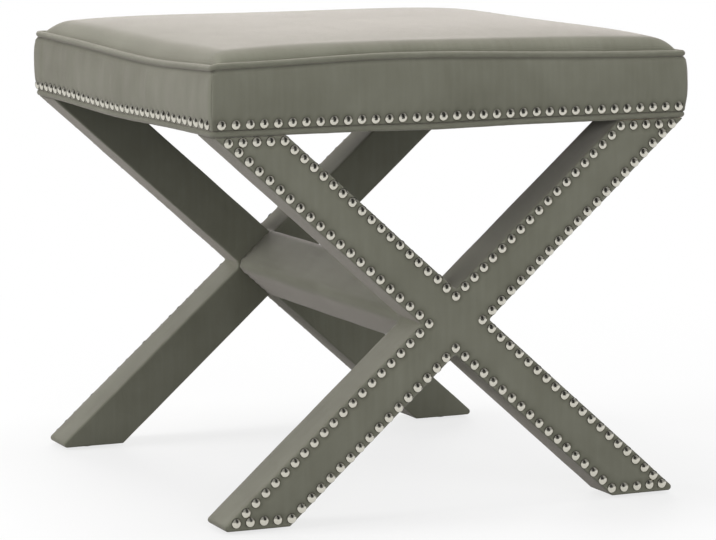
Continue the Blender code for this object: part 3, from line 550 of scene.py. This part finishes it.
def nail_heads(name, spots, finish):
    """One mesh of domed heads. Each spot is a place and the way its head faces."""
    profile = nail_profile()
    rings = len(profile)
    places, faces, rims = [], [], []
    for number, (place, facing) in enumerate(spots):
        tilt = noise.noise_vector(Vector((3.1 * number, 0.7, 5.2)))
        axis = (Vector(facing) + NAIL_TILT * tilt).normalized()
        aside = axis.orthogonal().normalized()
        across = axis.cross(aside)
        first = len(places)
        for radius, height in profile:
            for side in range(NAIL_SIDES):
                angle = math.tau * side / NAIL_SIDES
                reach = aside * math.cos(angle) + across * math.sin(angle)
                places.append(Vector(place) + reach * radius + axis * height)
                # How near the rim each point is, for the painted shade there.
                rims.append((radius / NAIL_RADIUS) ** 4)
        crown = len(places)
        places.append(Vector(place) + axis * (NAIL_DOME + BRIM_HEIGHT))
        rims.append(0.0)
        for ring in range(rings - 1):
            for side in range(NAIL_SIDES):
                here, after = first + ring * NAIL_SIDES, (side + 1) % NAIL_SIDES
                above = here + NAIL_SIDES
                faces.append((here + side, here + after, above + after, above + side))
        top = first + (rings - 1) * NAIL_SIDES
        faces.extend((top + side, top + (side + 1) % NAIL_SIDES, crown) for side in range(NAIL_SIDES))
        faces.append(tuple(first + side for side in reversed(range(NAIL_SIDES))))
    heads = add_piece(name, places, faces, None, finish)
    heads.data.attributes.new("rim", "FLOAT", "POINT").data.foreach_set("value", rims)
    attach(heads, "root")
    return heads


nickel = polished_nickel()
for end, hand in (("front", -1), ("rear", 1)):
    spots = [((-hand * x, hand * SEAT_HALF_DEPTH, z), (0, hand, 0)) for x, z in frame_nail_spots()]
    heads = nail_heads(f"{end}_frame_nail_heads", spots, nickel)
    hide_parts(f"{end}_frame_nails")


# Dust cover: the sheet that closes the seat from below, stapled under the base board.
# Black non-woven lining, stretched flat, with its edge folded in as a double hem.
HEM = 0.014
HEM_STEP = 0.0004
HEM_RUN = 0.002
SAG = 0.0008
lining, graph, shader = new_finish("black_lining", Specular_IOR_Level=0.2)
thread = add_node(graph, "Attribute", attribute_name="thread").outputs["Vector"]
fluff = mottle_of(graph, thread, 500.0, 4.0)
bonds = {"Vector": thread, "Scale": 420.0, "Randomness": 0.15}
dots = add_node(graph, "TexVoronoi", bonds).outputs["Distance"]
tint = blend_of(graph, fluff, (0.3, colour(22, 22, 24)), (0.7, colour(48, 48, 51)))
join_looks(graph, shader, tint, spread_of(graph, fluff, 0.8, 0.98), bump_of(graph, dots, 0.4, 0.0003))
sheet_low, sheet_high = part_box("dust_cover")
cells = 100
steps = np.linspace(-1, 1, cells + 1)
places, flats = [], []
for row in steps:
    for column in steps:
        x, y = column * sheet_high.x, row * sheet_high.y
        from_edge = min(sheet_high.x - abs(x), sheet_high.y - abs(y))
        hem = HEM_STEP * min(1.0, max(0.0, (from_edge - HEM) / HEM_RUN))
        slack = SAG * (1 - row**2) * (1 - column**2)
        places.append((x, y, sheet_low.z + hem - slack * (from_edge > HEM)))
        flats.append((x, y, 0.0))
quads = ring_faces(cells + 1, cells + 1, closed=False)
faces = [[row * (cells + 1) + column for row, column in quad] for quad in quads]
threads = [flats[corner] for face in faces for corner in face]
dust_sheet = add_piece("dust_cover_sheet", places, faces, threads, lining)
give_thickness(dust_sheet, sheet_high.z - sheet_low.z - HEM_STEP)
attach(dust_sheet, "root")
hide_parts("dust_cover")


# Seat welts: a covered cord round the top edge and a second one as the lip under the boxing.
# Cord in bias-cut velvet, sewn between the panels. The sewing draws the upper one up along the
# front and down along the left side, and the lower one hangs a little between the legs.
SIDES = ("front", "right", "rear", "left")
WELT_CORNER = 0.005
WELT_SPACING = 0.004
WELT_UNEVEN = 0.05
CORNER_STEPS = 8
UPPER_CORNERS = (0.0004, -0.0018, 0.0006, 0.0002)
UPPER_BOWS = {
    "front": (0.0062, -0.060, 0.130, 0.170),
    "right": (-0.0020, 0.020, 0.140, 0.140),
    "rear": (-0.0042, 0.026, 0.130, 0.130),
    "left": (-0.0056, 0.090, 0.190, 0.130),
}
LOWER_CORNERS = (0.0, 0.0, 0.0, 0.0)
LOWER_BOWS = {
    "front": (-0.0012, -0.020, 0.060, 0.060),
    "right": (-0.0012, 0.000, 0.110, 0.110),
    "rear": (-0.0010, 0.020, 0.090, 0.090),
    "left": (-0.0030, -0.010, 0.120, 0.120),
}


def edge_shift(corners, bows, side, along, half):
    """How far a welt is drawn up or down at a distance along one side of the seat."""
    amount, peak, before, after = bows[SIDES[side % 4]]
    share = (along + half) / (2 * half)
    level = corners[side % 4] * (1 - share) + corners[(side + 1) % 4] * share
    return level + amount * math.exp(-(((along - peak) / (after if along > peak else before)) ** 2))


def seat_round(half, radius, spacing):
    """Once round the seat: plan place, way out, side, share of its corner, and distance along."""
    stops = []
    reach = half - radius
    for side in range(4):
        turn = side * math.pi / 2
        ahead = np.array((math.cos(turn), math.sin(turn)))
        out = np.array((math.sin(turn), -math.cos(turn)))
        count = round(2 * reach / spacing)
        for step in range(count + 1):
            along = reach * (2 * step / count - 1)
            stops.append((ahead * along + out * half, out, side, 0.0, along))
        for step in range(1, CORNER_STEPS):
            share = step / CORNER_STEPS
            facing = out * math.cos(share * math.pi / 2) + ahead * math.sin(share * math.pi / 2)
            stops.append(((out + ahead) * reach + facing * radius, facing, side, share, reach))
    return stops


def stop_shift(corners, bows, stop, half):
    """The same shift at a stop, eased from one side to the next round a corner."""
    side, share, along = stop[2:]
    here = edge_shift(corners, bows, side, along, half)
    if not share:
        return here
    return here * (1 - share) + edge_shift(corners, bows, side + 1, -along, half) * share


def welt(name, node, corners, bows, fullness):
    """A covered cord along the seat's edge, slightly uneven from its sewing."""
    low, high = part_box(node)
    radius, level = (high.z - low.z) / 2, (high.z + low.z) / 2
    half = high.x - radius
    stops = seat_round(half, WELT_CORNER, WELT_SPACING)
    sides = 16
    places, runs = [], [0.0]
    for number, stop in enumerate(stops):
        plan, facing = stop[0], stop[1]
        height = level + stop_shift(corners, bows, stop, half)
        after = stops[(number + 1) % len(stops)][0]
        runs.append(runs[-1] + math.dist(plan, after))
        for side in range(sides):
            angle = math.tau * side / sides
            stitch = 1 + WELT_UNEVEN * noise.noise(Vector((plan[0] * 160, plan[1] * 160, 0.6 * side)))
            out = radius * fullness * stitch * math.cos(angle)
            up = radius * fullness * stitch * math.sin(angle)
            places.append((plan[0] + facing[0] * out, plan[1] + facing[1] * out, height + up))
    total = len(stops)
    quads = ring_faces(total + 1, sides)
    faces = [[(row % total) * sides + column % sides for row, column in quad] for quad in quads]
    girth = math.tau * radius / sides
    threads = []
    for row, column in (corner for quad in quads for corner in quad):
        threads.append((runs[row] + column * girth, runs[row] - column * girth, 0.0))
    cord = add_piece(name, places, faces, threads, velvet)
    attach(cord, "root")
    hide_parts(node)


welt("upper_welt", "seat_piping", UPPER_CORNERS, UPPER_BOWS, fullness=1.25)
welt("lower_welt", "base_piping", LOWER_CORNERS, LOWER_BOWS, fullness=1.24)


# Seat cushion: foam and wadding under the top panel, which is sewn to the upper welt all round.
# A crowned pad, full to its edges, whose seam rises and falls with the welt.
# The pad is swelled as cloth under pressure, held at its seam, from a slightly flatter start.
ROLL_HEIGHT = 0.0157
ROLL_WIDTHS = {"front": 0.019, "right": 0.0285, "rear": 0.045, "left": 0.019}
FRONT_ROLL_TAPER = 0.25
DOME_HEIGHT = 0.0089
DOME_SHOULDER = 5.0
FRONT_EASE = 0.014
SIDE_EASE = 0.047
START_SHARE = 0.995
FOAM_HOLD = 0.35
MOST_SWELL = 0.005
SWELL_FRAMES = 20
PAD_CELLS = 84
EDGE_CROWDING = 0.75
panel_low, panel_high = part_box("seat_top_panel")
foam_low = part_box("seat_foam")[0]
panel_half = panel_high.x
panel_edge = panel_low.z + CLOTH


def upper_edge(side, along):
    return edge_shift(UPPER_CORNERS, UPPER_BOWS, side, along, panel_half)


def seam_level(across, along):
    """Height of the pad's edge. The seam's rise and fall dies out a little way in from each side."""
    x, y = across * panel_half, along * panel_half
    front, rear = math.exp(-(panel_half + y) / FRONT_EASE), math.exp(-(panel_half - y) / SIDE_EASE)
    left, right = math.exp(-(panel_half + x) / SIDE_EASE), math.exp(-(panel_half - x) / SIDE_EASE)
    sides = front * upper_edge(0, x) + right * upper_edge(1, y)
    sides += rear * upper_edge(2, -x) + left * upper_edge(3, -y)
    near_left, near_right, far_right, far_left = (upper_edge(side, -panel_half) for side in range(4))
    corners = front * (left * near_left + right * near_right)
    corners += rear * (left * far_left + right * far_right)
    return panel_edge + sides - corners


def crown_height(across, along):
    """Rise above the seam: a round roll inside each edge, steepest at front right, and a low dome."""
    roll, dome = ROLL_HEIGHT, DOME_HEIGHT
    sideways = ROLL_WIDTHS["right" if across > 0 else "left"]
    front = ROLL_WIDTHS["front"] * (1 - FRONT_ROLL_TAPER * across)
    lengthways = ROLL_WIDTHS["rear"] if along > 0 else front
    for share, width in ((across, sideways), (along, lengthways)):
        inward = min(1.0, (1 - abs(share)) * panel_half / width)
        roll *= math.sqrt(1 - (1 - inward) ** 2)
        dome *= 1 - abs(share) ** DOME_SHOULDER
    return roll + dome


def swell_as_cloth(pad, held):
    """Blow the pad up as a bag, sewn fast at its seam and loosely held by the foam: its points."""
    start = np.array([vertex.co for vertex in pad.data.vertices])
    seam = pad.vertex_groups.new(name="seam")
    seam.add([int(index) for index in np.flatnonzero(held)], 1.0, "REPLACE")
    seam.add([int(index) for index in np.flatnonzero(~held)], FOAM_HOLD, "REPLACE")
    cloth = pad.modifiers.new("swell", "CLOTH")
    cloth.settings.quality = 5
    cloth.settings.mass = 0.3
    cloth.settings.vertex_group_mass = "seam"
    cloth.settings.use_pressure = True
    cloth.settings.uniform_pressure_force = 4.0
    cloth.settings.effector_weights.gravity = 0.0
    cloth.point_cache.frame_start = 1
    cloth.point_cache.frame_end = SWELL_FRAMES
    for number in range(1, SWELL_FRAMES + 1):
        bpy.context.scene.frame_set(number)
    view = bpy.context.evaluated_depsgraph_get()
    moved = np.array([vertex.co for vertex in pad.evaluated_get(view).data.vertices])
    pad.modifiers.clear()
    bpy.context.scene.frame_set(1)
    shift = moved - start
    length = np.linalg.norm(shift, axis=1)
    return start + shift * np.minimum(1.0, MOST_SWELL / np.maximum(length, 1e-9))[:, None]


even = np.linspace(-1, 1, PAD_CELLS + 1)
marks = (1 - EDGE_CROWDING) * even + EDGE_CROWDING * np.sin(even * math.pi / 2)
count = PAD_CELLS + 1
top, flats = [], []
for along in marks:
    for across in marks:
        height = seam_level(across, along) + START_SHARE * crown_height(across, along)
        top.append((across * panel_half, along * panel_half, height))
        flats.append((across * panel_half, along * panel_half, 0.0))
base = [(x, y, foam_low.z) for x, y, z in top]
quads = ring_faces(count, count, closed=False)
upper = [[row * count + column for row, column in reversed(quad)] for quad in quads]
lower = [[count * count + index for index in reversed(face)] for face in upper]
rim = list(range(count)) + [k * count + count - 1 for k in range(1, count)]
rim += [(count - 1) * count + k for k in range(count - 2, -1, -1)]
rim += [k * count for k in range(count - 2, 0, -1)]
walls = [[a, count * count + a, count * count + b, b] for a, b in zip(rim, rim[1:] + rim[:1])]
faces = upper + lower + walls
threads = [flats[corner % (count * count)] for face in faces for corner in face]
cushion = add_piece("seat_cushion", top + base, faces, threads, velvet)
across_all, along_all = np.meshgrid(marks, marks)
on_edge = (np.maximum(np.abs(across_all), np.abs(along_all)) > 0.9999).ravel()
held = np.concatenate((on_edge, np.ones(count * count, bool)))
swelled = swell_as_cloth(cushion, held)
cushion.data.vertices.foreach_set("co", swelled.ravel())
cushion.data.update()
smooth = cushion.modifiers.new("smooth", "SUBSURF")
smooth.levels = 1
smooth.boundary_smooth = "PRESERVE_CORNERS"
apply_modifiers(cushion)
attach(cushion, "root")
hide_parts("seat_top_panel", "seat_wadding", "seat_foam")


# Boxing: four strips of velvet over wadding that make the seat's sides between the two welts.
# They swell outward, ripple faintly and meet in a seam at each corner, and nails along the foot
# hold them to the rails. The side strips have painted light, paler towards the foot, and every strip
# has painted shade round its nails and in the seam crease at its foot.
BOX_BULGE = 0.003
BOX_CORNER = 0.0055
BOX_SPACING = 0.0030
BACKING = 0.0015
FRONT_FLUTE = 0.0006
SIDE_FLUTE = 0.0013
STREAK = 0.00026
TOP_TUCK = 0.0016
TOP_TUCK_SHARE = 0.06
FOOT_TUCK = 0.0055
FOOT_TUCK_SHARE = 0.054
SEAM_DEPTH = 0.002
SEAM_SHADE = 2.0
SEAM_SHARE = 0.036
SEAM_FADE = 0.010
SEAT_NAILS = 35
NAIL_DROP = 0.0011
NAIL_BOB = 0.0004
PAINTED_LIGHT_RISE = 1.6
PAINTED_LIGHT_TURN = 0.7
PAINTED_LIGHT_RUN = 2.2
box_low, box_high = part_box("front_boxing")
outer_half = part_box("base_piping")[1].x
nail_low, nail_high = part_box("front_seat_nails")
nail_level = (nail_low.z + nail_high.z) / 2
nail_reach = nail_high.x - NAIL_RADIUS


def seat_nail_marks(side):
    """Distance along a side and height of each nail, a little uneven. Side rows sag with the welt."""
    marks = []
    for number in range(SEAT_NAILS):
        along = nail_reach * (2 * number / (SEAT_NAILS - 1) - 1)
        shift = noise.noise_vector(Vector((5.7 * number, 11.0 * side, 2.2)))
        sag = edge_shift(LOWER_CORNERS, LOWER_BOWS, side, along, outer_half) if side % 2 else 0.0
        marks.append((along + NAIL_WANDER * shift.x, nail_level - NAIL_DROP + sag + NAIL_BOB * shift.y))
    return np.array(marks)


def strip_bulge(share):
    return BOX_BULGE * 4 * share * (1 - share)


def boxing_strip(side, name):
    """One strip with its backing, from the middle of a corner to the middle of the next."""
    stops = seat_round(outer_half, BOX_CORNER, BOX_SPACING)
    own = [s for s in stops if s[2] == (side - 1) % 4 and s[3] >= 0.5]
    own += [s for s in stops if s[2] == side and s[3] <= 0.5]
    nails = seat_nail_marks(side)
    flute = SIDE_FLUTE if side % 2 else FRONT_FLUTE
    shares = np.concatenate((np.linspace(0, 0.07, 9), np.linspace(0.1, 1, 20)))
    rows = len(shares)
    distance, last, front, back, flats, painted_shading = 0.0, None, [], [], [], []
    for stop in own:
        plan, facing = stop[0], stop[1]
        distance += 0.0 if last is None else math.dist(plan, last)
        last = plan
        bottom = box_low.z - SEAM_DEPTH + stop_shift(LOWER_CORNERS, LOWER_BOWS, stop, outer_half)
        upper = box_high.z + stop_shift(UPPER_CORNERS, UPPER_BOWS, stop, outer_half)
        along = stop[4] if stop[2] == side else -stop[4]
        for share in shares:
            level = bottom + (upper - bottom) * share
            streak = noise.noise(Vector((distance * 120, share * 1.1, 9.0 * side)))
            fold = noise.noise(Vector((distance * 42, share * 1.6, 4.0 + 5.0 * side)))
            ripple = (STREAK * streak + flute * fold) * math.sin(math.pi * share) ** 0.6
            gap = np.min(np.hypot(nails[:, 0] - along, nails[:, 1] - level))
            pull = NAIL_DENT * math.exp(-((gap / DENT_WIDTH) ** 2))
            tuck = TOP_TUCK * max(0.0, (share - 1 + TOP_TUCK_SHARE) / TOP_TUCK_SHARE) ** 2
            tuck += FOOT_TUCK * max(0.0, (FOOT_TUCK_SHARE - share) / FOOT_TUCK_SHARE) ** 2
            # Painted shade in the crease along the seam at the strip's foot.
            seam = SEAM_SHADE * math.exp(-((max(0.0, share - SEAM_SHARE) / SEAM_FADE) ** 2))
            front.append((*(plan + facing * (strip_bulge(share) + ripple - pull - tuck)), level))
            back.append((*(plan - facing * BACKING), level))
            flats.append((distance, level, 0.0))
            # Painted light on the side strips: paler towards the foot and towards one end.
            painted_light = PAINTED_LIGHT_RISE * (PAINTED_LIGHT_TURN - share) + PAINTED_LIGHT_RUN * along if side % 2 else 0.0
            painted_shading.append(max(painted_nail_shade(gap), seam) - painted_light)
    columns = len(own)
    size = columns * rows
    quads = ring_faces(columns, rows, closed=False)
    outer = [[a * rows + b for a, b in quad] for quad in quads]
    inner = [[size + index for index in reversed(face)] for face in outer]
    rim = [k * rows for k in range(columns)] + [(columns - 1) * rows + k for k in range(1, rows)]
    rim += [k * rows + rows - 1 for k in range(columns - 2, -1, -1)] + list(range(rows - 2, 0, -1))
    walls = [[a, size + a, size + b, b] for a, b in zip(rim, rim[1:] + rim[:1])]
    faces = outer + inner + walls
    threads = [flats[corner % size] for face in faces for corner in face]
    strip = add_piece(f"{name}_boxing_strip", front + back, faces, threads, velvet)
    strip.data.attributes.new("painted_shading", "FLOAT", "POINT").data.foreach_set("value", painted_shading + [0.0] * size)
    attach(strip, "root")
    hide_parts(f"{name}_boxing")


for side, name in enumerate(SIDES):
    boxing_strip(side, name)


# Seat nails: one row along the foot of each boxing strip.
# The same polished nickel nails as on the frames, hammered through the strip into the rail.
SEAT_NAIL_SINK = 0.0003
SEAT_NAIL_DROOP = 0.08
for side, name in enumerate(SIDES):
    turn = side * math.pi / 2
    ahead, out = (math.cos(turn), math.sin(turn)), (math.sin(turn), -math.cos(turn))
    spots = []
    for along, level in seat_nail_marks(side):
        share = (level - box_low.z) / (box_high.z - box_low.z)
        reach = outer_half + strip_bulge(share) - SEAT_NAIL_SINK
        x, y = (ahead[axis] * along + out[axis] * reach for axis in (0, 1))
        spots.append(((x, y, level), (*out, -SEAT_NAIL_DROOP)))
    heads = nail_heads(f"{name}_seat_nail_heads", spots, nickel)
    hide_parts(f"{name}_seat_nails")


# Studio: a white floor and surround, and four soft lamps, the strongest behind on the right.
# A grey ceiling card and four dark leaning ones, which only polished metal sees, give the nails
# something to reflect beside the white.
WHITE = (1.0, 1.0, 1.0, 1.0)
GREY_CARD = 0.4
DARK_CARD = 0.03
LAMP_AIM = Vector((0.0, 0.0, 0.25))


def seen_directly(graph):
    """1 for what the lens, a mirror or glass sees of a surface, and 0 for the light it gives."""
    path = add_node(graph, "LightPath")
    seen = path.outputs["Is Camera Ray"]
    for kind in ("Is Glossy Ray", "Is Transmission Ray"):
        either = {0: seen, 1: path.outputs[kind]}
        seen = add_node(graph, "Math", either, operation="MAXIMUM").outputs["Value"]
    return seen


def bare_finish(name):
    """A material with an empty graph."""
    made = bpy.data.materials.new(name)
    made.use_nodes = True
    made.node_tree.nodes.clear()
    return made, made.node_tree


def flat_panel(name, corners, finish):
    mesh = bpy.data.meshes.new(name)
    mesh.from_pydata(corners, [], [(0, 1, 2, 3)])
    mesh.materials.append(finish)
    panel = bpy.data.objects.new(name, mesh)
    bpy.context.scene.collection.objects.link(panel)
    return panel


floor_finish, graph = bare_finish("studio_floor")
place = add_node(graph, "TexCoord").outputs["Object"]
away = add_node(graph, "VectorMath", {0: place}, operation="LENGTH").outputs["Value"]
fading = {"Value": away, "From Min": 0.4, "From Max": 1.3, "To Min": 0.25, "To Max": 0.0}
near = add_node(graph, "MapRange", fading).outputs["Result"]
matt = add_node(graph, "BsdfDiffuse", {"Color": (0.35, 0.35, 0.35, 1.0)}).outputs["BSDF"]
pale = add_node(graph, "BsdfDiffuse", {"Color": (0.9, 0.9, 0.9, 1.0)}).outputs["BSDF"]
white = add_node(graph, "Emission", {"Color": WHITE, "Strength": 1.0}).outputs["Emission"]
shaded = add_node(graph, "MixShader", {0: near, 1: white, 2: pale}).outputs["Shader"]
shown = add_node(graph, "MixShader", {0: seen_directly(graph), 1: matt, 2: shaded}).outputs["Shader"]
add_node(graph, "OutputMaterial", {"Surface": shown})
flat_panel("studio_floor", [(-30, -30, 0), (30, -30, 0), (30, 30, 0), (-30, 30, 0)], floor_finish)


def card(name, shade, corners):
    """A card that only polished metal sees."""
    finish, graph = bare_finish(name)
    grey = add_node(graph, "Emission", {"Color": (shade, shade, shade, 1.0)}).outputs["Emission"]
    add_node(graph, "OutputMaterial", {"Surface": grey})
    panel = flat_panel(name, corners, finish)
    panel.visible_camera = False
    panel.visible_diffuse = False
    panel.visible_shadow = False
    return panel


card("ceiling_card", GREY_CARD, [(-6, -6, 1.3), (6, -6, 1.3), (6, 6, 1.3), (-6, 6, 1.3)])
card_top = [(0.35, -0.6, 1.25), (-0.25, -0.6, 1.25)]
near_foot = [(-0.27, -0.95, 0.01), (0.43, -0.95, 0.01)]
far_foot = [(-0.68, -2.2, 0.15), (1.02, -2.2, 0.15)]
for side, name in enumerate(SIDES):
    leaning = (far_foot if side % 2 else near_foot) + card_top
    card(f"{name}_card", DARK_CARD, leaning).rotation_euler = (0.0, 0.0, side * math.pi / 2)

world = bpy.data.worlds.new("studio")
bpy.context.scene.world = world
world.use_nodes = True
graph = world.node_tree
graph.nodes.clear()
fill = add_node(graph, "Background", {"Color": WHITE, "Strength": 0.25}).outputs["Background"]
white = add_node(graph, "Background", {"Color": WHITE, "Strength": 1.0}).outputs["Background"]
shown = add_node(graph, "MixShader", {0: seen_directly(graph), 1: fill, 2: white}).outputs["Shader"]
add_node(graph, "OutputWorld", {"Surface": shown})


def soft_lamp(name, place, size, power, mirrored):
    data = bpy.data.lights.new(name, "AREA")
    data.size, data.energy = size, power
    lamp = bpy.data.objects.new(name, data)
    lamp.location = place
    lamp.rotation_euler = (LAMP_AIM - lamp.location).to_track_quat("-Z", "Y").to_euler()
    lamp.visible_glossy = mirrored
    bpy.context.scene.collection.objects.link(lamp)


soft_lamp("back_right", (1.40, 3.75, 0.96), 1.96, 166.0, True)
soft_lamp("overhead", (0.0, 0.0, 2.75), 1.2, 27.0, False)
soft_lamp("left", (-2.13, 0.57, 1.42), 1.2, 27.0, False)
soft_lamp("front", (0.0, -2.35, 1.10), 1.2, 16.0, False)

lens = bpy.data.cameras.new("photo_view")
lens.sensor_width = 36.0
lens.lens = 169.75
camera = bpy.data.objects.new("photo_view", lens)
camera.location = (-1.42508, -3.18514, 0.70137)
camera.rotation_euler = (math.pi / 2 - 0.1401, 0.0, -0.4233)
bpy.context.scene.collection.objects.link(camera)
bpy.context.scene.camera = camera
bpy.context.scene.view_settings.view_transform = "Standard"
